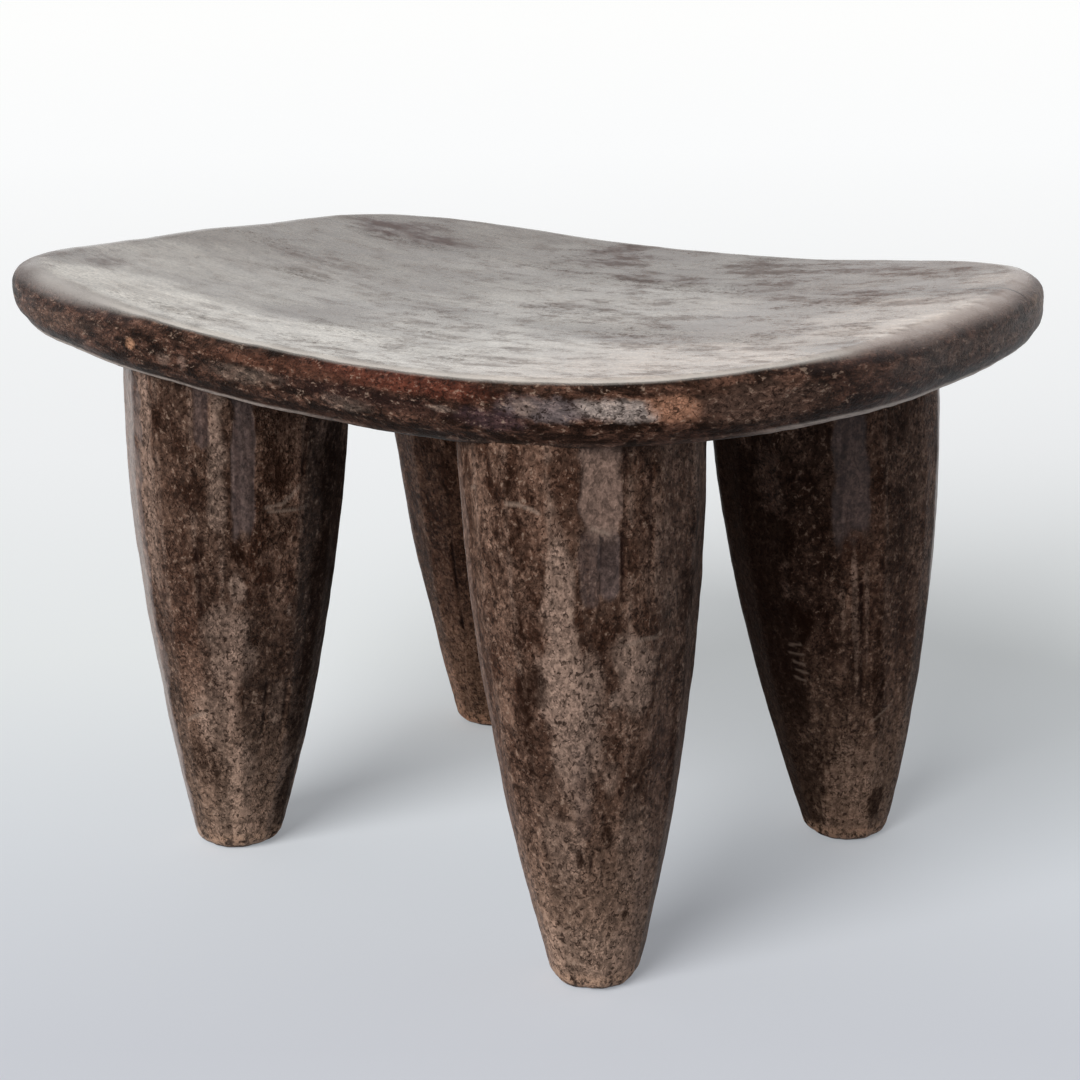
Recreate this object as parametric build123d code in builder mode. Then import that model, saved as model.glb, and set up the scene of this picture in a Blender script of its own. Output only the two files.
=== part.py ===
from build123d import *
from math import cos, pi, radians, sin
import os

# A low four-legged stool, hewn from hardwood. The seat is a thick plank with rounded corners,
# dished along its length, with a rolled rim. Each leg is a stout tapered club, cut in long
# facets, whose shoulder bears on the seat's underside and whose round tenon sits in a blind
# mortise. Millimetres, +Z up, +X along the seat, origin on the ground under its middle.

# ---- Seat ----
SEAT_LENGTH = 424.0  # along X, over the rolled rim
SEAT_WIDTH = 293.0  # along Y, over the rolled rim
SEAT_THICKNESS = 26.4
SEAT_CLEARANCE_HEIGHT = 220.0  # ground to underside, at the middle of the dish
END_RISE = 17.0  # how far the two ends stand above the middle
SIDE_RISE = 4.7  # how far the two long sides stand above the middle
LEAN_RISE = 5.1  # the +X end stands this much above a level seat, the other as much below
SIDE_LEAN_RISE = -0.6  # the same towards the +Y side
TWIST_RISE = 5.5  # the same along the diagonal, as in a slightly winding plank
END_HOLLOW = 1.2  # the +X end is this much lower at its middle, the -X end as much higher
RIM_TOP_RADIUS = 10.3
RIM_LOWER_RADIUS = 10.0

# Squareness of the outline as a superellipse exponent: 2 is an ellipse, more is squarer.
SQUARENESS = 4.13
SQUARENESS_TO_END = -1.35  # change towards the +X end
SQUARENESS_TO_SIDE = -0.46  # change towards the +Y side
SQUARENESS_ON_DIAGONAL = 0.58  # change on the +X+Y and -X-Y corners
SKEW = 0.013  # how far the outline leans along X, per unit of Y
OUTLINE_POINTS = 48

# ---- Legs ----
LEG_END_INSET = 113.8  # from the seat's end to a leg's axis at its shoulder
LEG_SIDE_INSET = 59.9  # from the seat's long side to the same axis
SPLAY_TO_END = 11.7  # how far a foot stands outside its shoulder, along X
SPLAY_TO_SIDE = 8.1  # the same along Y
SHOULDER_RADIUS = 50.5
FOOT_RADIUS = 17.5
SWELL = 1.84  # 1 is a straight taper, more bulges the leg's side
FOOT_ROUNDING = ((0.0, 6.0), (1.2, 4.4), (3.5, 2.2), (9.0, 0.0))  # height, and how far drawn in
LEG_SECTIONS = 7

# ---- Joint of leg and seat ----
TENON_RADIUS = 24.0
TENON_LENGTH = 16.0
TENON_SIDE_CLEARANCE = 0.1
TENON_END_CLEARANCE = 0.5

# Where each corner is, by how much its carver strayed from the even layout above, and the
# bearings in degrees from +X of the arrises between the facets.
LEGS = {
    "leg_front_left": dict(
        side=(-1, -1), shift=(0.7, 1.3), splay=(3.9, 4.5), girth=(1.3, -1.3), swell=-0.03,
        arrises=(-110, -89, -68, -53, -41, -8, 16, 40, 64, 88, 112, 136, 160, 184, 207, 229),
    ),
    "leg_front_right": dict(
        side=(1, -1), shift=(0.3, -3.4), splay=(2.4, -1.4), girth=(-0.3, -1.8), swell=-0.01,
        arrises=(-108, -87, -66, -52, -29, -15, 12, 36, 61, 84, 108, 133, 157, 181, 205, 229),
    ),
    "leg_back_right": dict(
        side=(1, 1), shift=(-3.4, -4.0), splay=(2.9, 0.6), girth=(0.3, 0.3), swell=0.25,
        arrises=(-106, -81, -51, -39, -25, 0, 17, 41, 66, 90, 113, 137, 161, 186, 209, 231),
    ),
    "leg_back_left": dict(
        side=(-1, 1), shift=(-3.0, 0.8), splay=(-0.1, 3.7), girth=(-1.3, 2.5), swell=-0.21,
        arrises=(-100, -78, -55, -33, -11, 12, 35, 58, 80, 103, 126, 148, 171, 193, 216, 238),
    ),
}


def underside_height(x, y):
    """Height of the seat's dished underside above the ground."""
    u = 2 * x / SEAT_LENGTH
    v = 2 * y / SEAT_WIDTH
    dish = END_RISE * u * u + SIDE_RISE * v * v
    lean = LEAN_RISE * u + SIDE_LEAN_RISE * v + TWIST_RISE * u * v
    return SEAT_CLEARANCE_HEIGHT + dish + lean - END_HOLLOW * u**3 * (1 - v * v)


def dish_surface():
    """The underside as one smooth face, a little larger than the seat."""
    steps = 8
    margin = 1.05
    reach = [margin * (2 * i / steps - 1) / 2 for i in range(steps + 1)]
    rows = []
    for across in reach:
        y = across * SEAT_WIDTH
        rows.append([(along * SEAT_LENGTH, y, underside_height(along * SEAT_LENGTH, y)) for along in reach])
    return Face.make_surface_from_array_of_points(rows)


def outline_point(turn):
    """Point of the seat's plan outline at a share of a full turn from +X."""
    c = cos(2 * pi * turn)
    s = sin(2 * pi * turn)
    exponent = SQUARENESS + SQUARENESS_TO_END * c + SQUARENESS_TO_SIDE * s + SQUARENESS_ON_DIAGONAL * 2 * c * s
    reach = (abs(c) ** exponent + abs(s) ** exponent) ** (-1 / exponent)
    y = SEAT_WIDTH / 2 * reach * s
    return SEAT_LENGTH / 2 * reach * c + SKEW * y, y


def shoulder_centre(leg):
    """Plan position of a leg's axis where it meets the seat."""
    x = leg["side"][0] * (SEAT_LENGTH / 2 - LEG_END_INSET) + leg["shift"][0]
    y = leg["side"][1] * (SEAT_WIDTH / 2 - LEG_SIDE_INSET) + leg["shift"][1]
    return x, y


def shoulder_height(leg):
    return underside_height(*shoulder_centre(leg))


def leg_outline(leg, height, inset=0.0):
    """Faceted cross-section of a leg at a height, drawn in by an inset."""
    share = height / shoulder_height(leg)
    foot_radius = FOOT_RADIUS + leg["girth"][0]
    shoulder_radius = SHOULDER_RADIUS + leg["girth"][1]
    growth = 1 - max(1 - share, 0) ** (SWELL + leg["swell"])
    radius = foot_radius + (shoulder_radius - foot_radius) * growth - inset
    corner_radius = 2 * radius / (1 + cos(pi / len(leg["arrises"])))
    x, y = shoulder_centre(leg)
    x += (1 - share) * (leg["side"][0] * SPLAY_TO_END + leg["splay"][0])
    y += (1 - share) * (leg["side"][1] * SPLAY_TO_SIDE + leg["splay"][1])
    bearings = [radians(arris) for arris in leg["arrises"]]
    return [(x + corner_radius * cos(bearing), y + corner_radius * sin(bearing)) for bearing in bearings]


def above_underside():
    """Everything from the dished underside upwards, for trimming the legs' shoulders."""
    return extrude(dish_surface(), amount=SEAT_CLEARANCE_HEIGHT, dir=(0, 0, 1), mode=Mode.PRIVATE)


def carve_leg(name):
    leg = LEGS[name]
    top = shoulder_height(leg) + END_RISE + SIDE_RISE + TWIST_RISE
    with BuildPart() as club:
        for height, inset in FOOT_ROUNDING:
            with BuildSketch(Plane.XY.offset(height)):
                Polygon(*leg_outline(leg, height, inset), align=None)
        loft(ruled=True)
        foot_top = FOOT_ROUNDING[-1][0]
        for step in range(LEG_SECTIONS):
            height = foot_top + (top - foot_top) * step / (LEG_SECTIONS - 1)
            with BuildSketch(Plane.XY.offset(height)):
                Polygon(*leg_outline(leg, height), align=None)
        loft()
        add(above_underside(), mode=Mode.SUBTRACT)
        with BuildSketch(Plane.XY.offset(shoulder_height(leg) + TENON_LENGTH)):
            with Locations(shoulder_centre(leg)):
                Circle(TENON_RADIUS)
        extrude(amount=-2 * TENON_LENGTH)
    club.part.label = name
    return club.part


with BuildPart() as seat:
    with BuildSketch():
        with BuildLine():
            Spline(*[outline_point(k / OUTLINE_POINTS) for k in range(OUTLINE_POINTS)], periodic=True)
        make_face()
    extrude(amount=2 * SEAT_CLEARANCE_HEIGHT)
    extrude(dish_surface(), amount=SEAT_THICKNESS, dir=(0, 0, 1), mode=Mode.INTERSECT)
    fillet(seat.faces().sort_by(Axis.Z)[-1].outer_wire().edges(), RIM_TOP_RADIUS)
    fillet(seat.faces().sort_by(Axis.Z)[0].outer_wire().edges(), RIM_LOWER_RADIUS)
    for leg in LEGS.values():
        with BuildSketch(Plane.XY.offset(shoulder_height(leg) + TENON_LENGTH + TENON_END_CLEARANCE)):
            with Locations(shoulder_centre(leg)):
                Circle(TENON_RADIUS + TENON_SIDE_CLEARANCE)
        extrude(amount=-SEAT_CLEARANCE_HEIGHT, mode=Mode.SUBTRACT)

seat.part.label = "seat"

os.makedirs("parts", exist_ok=True)
export_step(seat.part, "parts/seat.step")
for name in LEGS:
    export_step(carve_leg(name), f"parts/{name}.step")
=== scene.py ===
import math
from types import SimpleNamespace

import bpy
import numpy as np
from mathutils import Matrix, Vector


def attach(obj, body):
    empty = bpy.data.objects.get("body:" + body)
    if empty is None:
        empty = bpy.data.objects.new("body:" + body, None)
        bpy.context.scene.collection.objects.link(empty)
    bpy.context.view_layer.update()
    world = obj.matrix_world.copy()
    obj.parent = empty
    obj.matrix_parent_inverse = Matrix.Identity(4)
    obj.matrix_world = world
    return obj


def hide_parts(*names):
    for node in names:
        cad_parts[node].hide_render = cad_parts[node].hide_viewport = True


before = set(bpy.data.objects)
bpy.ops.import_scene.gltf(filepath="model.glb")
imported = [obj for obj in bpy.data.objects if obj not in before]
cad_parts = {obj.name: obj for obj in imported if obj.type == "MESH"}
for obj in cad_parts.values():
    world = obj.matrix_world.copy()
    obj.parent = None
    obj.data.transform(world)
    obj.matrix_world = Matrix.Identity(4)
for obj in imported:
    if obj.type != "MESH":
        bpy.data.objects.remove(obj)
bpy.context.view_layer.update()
scene = bpy.context.scene

MM = 0.001

# ------------------------ camera
CAMERA_AZIMUTH = math.radians(39.745)
CAMERA_ELEVATION = math.radians(16.86)
CAMERA_ROLL = math.radians(-0.514)
CAMERA_AIM = Vector((-0.43, 3.71, 139.42)) * MM
CAMERA_DISTANCE = 1172.2 * MM
CAMERA_LENS = 87.19
CAMERA_SENSOR = 36
CAMERA_RANGE = (0.05, 60)


def towards(azimuth, elevation):
    """Unit vector at an azimuth from -Y towards +X and an elevation above the ground."""
    level = math.cos(elevation)
    return Vector((math.sin(azimuth) * level, -math.cos(azimuth) * level, math.sin(elevation)))


def add_camera():
    """Long lens, a little above the seat, seen across the +X -Y corner."""
    back = towards(CAMERA_AZIMUTH, CAMERA_ELEVATION)
    right = (-back).cross(Vector((0, 0, 1))).normalized()
    up = back.cross(right)
    turn = Matrix.Rotation(CAMERA_ROLL, 3, back)
    axes = Matrix((turn @ right, turn @ up, back)).transposed().to_4x4()
    camera = bpy.data.objects.new("camera", bpy.data.cameras.new("camera"))
    scene.collection.objects.link(camera)
    camera.matrix_world = Matrix.Translation(CAMERA_AIM + back * CAMERA_DISTANCE) @ axes
    camera.data.sensor_width = CAMERA_SENSOR
    camera.data.lens = CAMERA_LENS
    camera.data.clip_start, camera.data.clip_end = CAMERA_RANGE
    scene.camera = camera


# ------------------------ noise for the carved surfaces
def lattice(points, seed):
    """Smooth value noise in -1..1 at an (..., 3) array of points, one cell per unit.

    The large primes scatter the value at each corner of a cell.
    """
    shape = points.shape[:-1]
    points = points.reshape(-1, 3)
    cell = np.floor(points).astype(np.int64)
    part = points - cell
    ease = part * part * part * (part * (part * 6 - 15) + 10)
    total = np.zeros(len(points))
    for corner in range(8):
        step = np.array([corner & 1, corner >> 1 & 1, corner >> 2 & 1])
        key = (cell + step) @ np.array([73856093, 19349663, 83492791]) + seed * 7919
        key = (key ^ (key >> 13)) * 1274126177 & 0x7FFFFFFF
        key = (key ^ (key >> 16)) * 668265263 & 0x7FFFFFFF
        value = (key & 0xFFFF) / 32767.5 - 1
        total += value * np.prod(np.where(step, ease, 1 - ease), axis=1)
    return total.reshape(shape)


def clouds(points, size, seed, octaves=3, fade=0.5):
    """Layered noise whose largest cells are size wide, a number or one per axis."""
    total = np.zeros(points.shape[:-1])
    strength = 1.0
    for octave in range(octaves):
        total += strength * lattice(points / size * 2**octave + 17.3 * octave, seed + octave)
        strength *= fade
    return total


def smooth(edge0, edge1, x):
    t = np.clip((x - edge0) / (edge1 - edge0), 0, 1)
    return t * t * (3 - 2 * t)


# ------------------------ seat shape, as in the solid
SEAT_LENGTH = 424.0
SEAT_WIDTH = 293.0
SEAT_THICKNESS = 26.4
SEAT_CLEARANCE_HEIGHT = 220.0
END_RISE = 17.0
SIDE_RISE = 4.7
LEAN_RISE = 5.1
SIDE_LEAN_RISE = -0.6
TWIST_RISE = 5.5
END_HOLLOW = 1.2
RIM_TOP_RADIUS = 10.3
RIM_LOWER_RADIUS = 10.0
SQUARENESS = 4.13
SQUARENESS_TO_END = -1.35
SQUARENESS_TO_SIDE = -0.46
SQUARENESS_ON_DIAGONAL = 0.58
SKEW = 0.013

AROUND_SEAT = 520
OUTLINE_SAMPLES = 4000  # points from which the even spacing around the outline is worked out
# How many rings the seat's mesh has on each stretch, from the top's middle to the underside's.
TOP_RINGS = 90
TOP_BAND_RINGS = 14
ROLL_RINGS = 25
SIDE_RINGS = 5
LOWER_ROLL_RINGS = 21
LOWER_BAND_RINGS = 8
UNDERSIDE_RINGS = 30
INNERMOST = 0.012  # the innermost ring's share of the plan
RIM_BAND = 30.0  # width of the band whose rings follow the outline
# The top's rolled edge is tight along the front and broad and low at the ends.
BROAD_ROLL = 6.0  # how much further it reaches in where it is broad
BROAD_ROLL_SWELL = 0.8  # how much the top stands proud inside it there
# The underside's edge is drawn in and up at the -X end.
TUCK_REACH = 7.0
TUCK_RISE = 4.5
TUCK_FROM_TO = (-165, -208)  # X where it starts and where it is whole
# Where the top was left high or low along its far edges: (X, Y, reach, height).
TOP_LEVELS = (
    (-206, -8, 42, 1.3),
    (-188, 92, 26, -1.1),
    (-115, 134, 30, 0.7),
    (42, 132, 60, -0.8),
)
# How far round the roll the worn top laps, with the painted sheen on its crest, from 0 at its crest to 0.4
# at its upright side.
WORN_TO = 0.135
WORN_TO_BROAD = 0.08  # how much further it laps where the roll is broad
WORN_EDGE = 0.03  # half the width of the blend from the worn top to the crusted rim
WORN_EDGE_BROAD = 0.10  # how much wider that is where the roll is broad
# Noise carved into the seat: (where, depth, cell along X, Y and Z, seed, octaves).
SEAT_CARVING = (
    ("top", 0.35, (95, 50, 60), 3, 2),
    ("top", 0.05, (30, 9, 12), 9, 2),
    ("rim", 0.45, (34, 34, 34), 21, 2),
    ("rim", 0.18, (13, 13, 6), 31, 3),
    ("crust", 0.12, (4, 4, 4), 41, 2),
    ("below", 0.55, (60, 22, 40), 51, 2),
)
LIP_HEIGHT = 0.35  # how far the lower lip stands out, under a groove about as deep


def underside_height(x, y):
    u = 2 * x / SEAT_LENGTH
    v = 2 * y / SEAT_WIDTH
    dish = END_RISE * u * u + SIDE_RISE * v * v
    lean = LEAN_RISE * u + SIDE_LEAN_RISE * v + TWIST_RISE * u * v
    return SEAT_CLEARANCE_HEIGHT + dish + lean - END_HOLLOW * u**3 * (1 - v * v)


def outline(turns):
    """Plan outline points and outward normals at shares of a full turn from +X."""
    angle = 2 * np.pi * turns
    c, s = np.cos(angle), np.sin(angle)
    power = SQUARENESS + SQUARENESS_TO_END * c + SQUARENESS_TO_SIDE * s + SQUARENESS_ON_DIAGONAL * 2 * c * s
    reach = (np.abs(c) ** power + np.abs(s) ** power) ** (-1 / power)
    y = SEAT_WIDTH / 2 * reach * s
    points = np.stack([SEAT_LENGTH / 2 * reach * c + SKEW * y, y], 1)
    along = np.roll(points, -1, 0) - np.roll(points, 1, 0)
    normals = np.stack([along[:, 1], -along[:, 0]], 1)
    return points, normals / np.linalg.norm(normals, axis=1, keepdims=True)


def even_turns(count):
    """Shares of a turn that space the outline's points evenly along it."""
    turns = np.linspace(0, 1, OUTLINE_SAMPLES + 1)
    points, _ = outline(turns[:-1])
    steps = np.linalg.norm(np.diff(np.vstack([points, points[:1]]), axis=0), axis=1)
    travel = np.concatenate([[0], np.cumsum(steps)])
    return np.interp(np.arange(count) / count * travel[-1], travel, turns)


def roll_breadth(points, outward):
    """0 where the top's edge is rolled tightly and 1 where the roll is broad."""
    left = smooth(-70, -165, points[:, 0]) * (1 - 0.8 * smooth(20, 110, points[:, 1]))
    right = smooth(-100, -10, points[:, 1]) * smooth(0.4, 0.95, outward[:, 0])
    back = 0.35 * smooth(0.2, 0.9, outward[:, 1])
    return np.maximum(np.maximum(left, right), back)


def seat_profile(breadth, tuck):
    """Stations from the top's middle over the rim to the underside's middle.

    Each is (share of the plan inside the rim band, inset from the outline, height above the
    underside, roll), where roll runs from 0 at the crest to 1 at the underside's edge.
    """
    reach = RIM_TOP_RADIUS + BROAD_ROLL * breadth
    swell = BROAD_ROLL_SWELL * breadth
    full = SEAT_THICKNESS
    stations = []
    for share in np.linspace(INNERMOST, 1, TOP_RINGS):
        stations.append((share, RIM_BAND, full + swell * smooth(0.45, 1.0, share), 0.0))
    for part in np.linspace(0, 1, TOP_BAND_RINGS)[1:-1]:
        stations.append((1, RIM_BAND + (reach - RIM_BAND) * part, full + swell, 0.0))
    for turn in np.linspace(0, np.pi / 2, ROLL_RINGS):
        drop = (RIM_TOP_RADIUS + swell) * (1 - math.cos(turn))
        stations.append((1, reach * (1 - math.sin(turn)), full + swell - drop, 0.8 * turn / np.pi))
    lower_reach = RIM_LOWER_RADIUS + TUCK_REACH * tuck
    lower = RIM_LOWER_RADIUS + TUCK_RISE * tuck
    side = SEAT_THICKNESS - RIM_TOP_RADIUS - lower
    for k in range(SIDE_RINGS - 1, 0, -1):
        stations.append((1, 0.0, lower + side * k / SIDE_RINGS, 0.6 - 0.2 * k / SIDE_RINGS))
    for turn in np.linspace(0, np.pi / 2, LOWER_ROLL_RINGS):
        inset = lower_reach * (1 - math.cos(turn))
        stations.append((1, inset, lower * (1 - math.sin(turn)), 0.6 + 0.8 * turn / np.pi))
    for part in np.linspace(0, 1, LOWER_BAND_RINGS)[1:]:
        stations.append((1, lower_reach + (RIM_BAND - lower_reach) * part, 0.0, 1.0))
    stations += [(share, RIM_BAND, 0.0, 1.0) for share in np.linspace(1, INNERMOST, UNDERSIDE_RINGS)[1:]]
    even = np.ones(len(breadth))
    return [np.array([station[k] * even for station in stations]) for k in range(4)]


FACET_KINDS = ("slate", "bare")  # patches as square as the facets they are on


def patch_marks(patches, across, along, wobble):
    """Strength of each kind of patch at every point, from its (across, along, half sizes, strength)."""
    marks = {}
    for kind, rows in patches.items():
        for middle_across, middle_along, half_across, half_along, strength in rows:
            x, y = (across - middle_across) / half_across, (along - middle_along) / half_along
            if kind in FACET_KINDS:
                inside = smooth(1.15, 0.85, (x**4 + y**4) ** 0.25 + 0.8 * wobble)
            else:
                inside = smooth(1.35, 0.55, np.hypot(x, y) + wobble)
            marks[kind] = np.maximum(marks.get(kind, 0.0), strength * inside)
    return marks


# Patches on the worn top, by kind: (X, Y, half length, half width, strength). The pale ones along the front
# edge and at the ends are painted sheen as well as pale wear.
TOP_PATCHES = {
    "pale": (
        (95, -92, 110, 44, 0.85), (-70, -118, 130, 28, 1.0), (0, -128, 160, 16, 1.0),
        (200, 2, 18, 50, 0.9), (176, 0, 36, 56, 0.5), (-146, -114, 44, 26, 0.9),
        (-172, -66, 30, 50, 0.4), (8, -62, 50, 26, 0.5), (30, 28, 60, 34, 0.4), (183, 84, 20, 16, 0.5),
        (-75, 60, 26, 16, 0.15), (-130, -50, 70, 60, 0.25), (20, 0, 60, 26, 0.4),
    ),
    "violet": (
        (-184, -126, 14, 14, 0.6), (98, -40, 30, 14, 0.3), (96, 68, 30, 12, 0.6),
        (60, 108, 50, 20, 0.4), (-196, -112, 10, 14, 0.7), (-140, 2, 34, 18, 0.45),
        (-176, -92, 12, 12, 0.6), (-150, 84, 36, 20, 1.0), (-44, 108, 20, 26, 0.8),
        (10, 78, 28, 15, 0.6), (120, 108, 40, 14, 0.4), (85, 80, 30, 14, 0.5), (-188, -88, 10, 15, 0.6),
        (24, 4, 26, 12, 0.5), (186, 70, 26, 40, 0.2), (118, 58, 34, 18, 0.4),
    ),
    "soot": (
        (128, 40, 22, 22, 0.52), (-150, 70, 34, 7, 0.52), (-15, 38, 17, 12, 0.45),
        (24, -2, 34, 11, 0.52), (80, -28, 32, 14, 0.49), (136, -30, 19, 12, 0.56),
        (168, -16, 19, 9, 0.45), (-118, -22, 20, 8, 0.6), (-175, 10, 25, 7, 0.38),
        (-100, -123, 34, 6, 0.68), (-22, -92, 24, 9, 0.52), (-25, -118, 22, 5, 0.52),
        (30, -108, 36, 8, 0.45), (8, -70, 14, 7, 0.45), (-18, -38, 18, 7, 0.38), (-95, 73, 90, 3, 0.52),
        (32, 67, 42, 9, 0.56), (40, 62, 12, 10, 0.45), (-55, 100, 12, 30, 0.38),
    ),
}


def grid_mesh(name, rings, marks):
    """Closed mesh of rings, an (n, m, 3) array in millimetres, with point attributes from marks."""
    count, around, _ = rings.shape
    index = np.arange(count * around).reshape(count, around)
    nxt = np.roll(index, -1, axis=1)
    faces = np.stack([index[:-1], index[1:], nxt[1:], nxt[:-1]], -1).reshape(-1, 4).tolist()
    first, last = count * around, count * around + 1
    faces += [(int(b), int(a), first) for a, b in zip(nxt[0], index[0])]
    faces += [(int(a), int(b), last) for a, b in zip(nxt[-1], index[-1])]
    ends = np.stack([rings[0].mean(0), rings[-1].mean(0)])
    mesh = bpy.data.meshes.new(name)
    mesh.from_pydata((np.vstack([rings.reshape(-1, 3), ends]) * MM).tolist(), [], faces)
    mesh.update()
    mesh.polygons.foreach_set("use_smooth", np.ones(len(mesh.polygons), bool))
    for mark, values in marks.items():
        values = np.append(values.reshape(-1), [values[0].mean(), values[-1].mean()])
        mesh.attributes.new(mark, "FLOAT", "POINT").data.foreach_set("value", values.astype(np.float32))
    piece = bpy.data.objects.new(name, mesh)
    scene.collection.objects.link(piece)
    return piece


def surface_normals(rings):
    """Outward unit normals of a surface of closed rings that run from its top to its foot."""
    along = np.gradient(rings, axis=0)
    around = np.roll(rings, -1, axis=1) - np.roll(rings, 1, axis=1)
    normals = np.cross(along, around)
    return normals / np.maximum(np.linalg.norm(normals, axis=2, keepdims=True), 1e-9)


def seat_carving(rings, roll, polish):
    """How far the tool marks, the crust and the lower lip lift the seat's surface."""
    shares = {
        "top": polish,
        "rim": np.sin(np.pi * np.clip(roll, 0, 1)) ** 0.5,
        "crust": 1 - polish,
        "below": smooth(0.97, 1.0, roll),
    }
    lip = np.exp(-(((roll - 0.90) / 0.05) ** 2)) - 1.1 * np.exp(-(((roll - 0.78) / 0.05) ** 2))
    lift = LIP_HEIGHT * lip * (0.7 + 0.6 * clouds(rings, 30, 61, 2))
    for where, depth, cell, seed, octaves in SEAT_CARVING:
        lift += depth * shares[where] * clouds(rings, np.array(cell), seed, octaves)
    return lift


def lip_highlight_mark(points, outward, roll):
    """Where a highlight is painted along the lower lip: strongly at the ends, and hardly anywhere between.
    """
    x = points[:, 0]
    ends = np.maximum(smooth(40, -30, x) * smooth(-198, -150, x), smooth(178, 202, x))
    start = 0.81 - 0.08 * smooth(0.1, 0.7, -outward[:, 0])
    return (0.04 + 0.9 * ends) * smooth(start, start + 0.03, roll) * smooth(0.945, 0.92, roll)


def add_seat():
    """The seat as carved: long shallow tool marks on top and below, a lumpier crusted rim."""
    points, outward = outline(even_turns(AROUND_SEAT))
    breadth = roll_breadth(points, outward)
    share, inset, rise, roll = seat_profile(breadth, smooth(*TUCK_FROM_TO, points[:, 0]))
    plan = (points - outward * inset[..., None]) * share[..., None]
    rings = np.dstack([plan, underside_height(plan[..., 0], plan[..., 1]) + rise])
    above = 1 - smooth(0.2, 0.5, roll)
    for x, y, across, height in TOP_LEVELS:
        away = np.hypot(plan[..., 0] - x, plan[..., 1] - y) / across
        rings[..., 2] += height * above * np.exp(-(away**2))
    worn = (WORN_TO + WORN_TO_BROAD * breadth) * (1 + 0.12 * clouds(rings, 22, 5, 2))
    spread = WORN_EDGE + WORN_EDGE_BROAD * breadth
    polish = 1 - smooth(worn - spread, worn + spread, roll)
    rings = rings + surface_normals(rings) * seat_carving(rings, roll, polish)[..., None]

    wobble = 0.3 * clouds(rings, np.array([26, 9, 20]), 65, 3)
    marks = patch_marks(TOP_PATCHES, rings[..., 0], rings[..., 1], wobble)
    marks.update(polish=polish, roll=roll, handled=breadth * np.ones(roll.shape))
    marks["endward"] = smooth(0.5, 0.87, np.abs(outward[:, 0])) * np.ones(roll.shape)
    # The painted highlight along the lower lip.
    marks["lip"] = lip_highlight_mark(points, outward, roll)
    piece = grid_mesh("seat_carved", rings, marks)
    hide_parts("seat")
    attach(piece, "root")
    return piece


# ------------------------ legs, as in the solids
LEG_END_INSET = 113.8
LEG_SIDE_INSET = 59.9
SPLAY_TO_END = 11.7
SPLAY_TO_SIDE = 8.1
SHOULDER_RADIUS = 50.5
FOOT_RADIUS = 17.5
SWELL = 1.84
FOOT_ROUNDING = 5.5
FOOT_FLAT = 0.3  # how much of the rounding is worn off underneath
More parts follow.
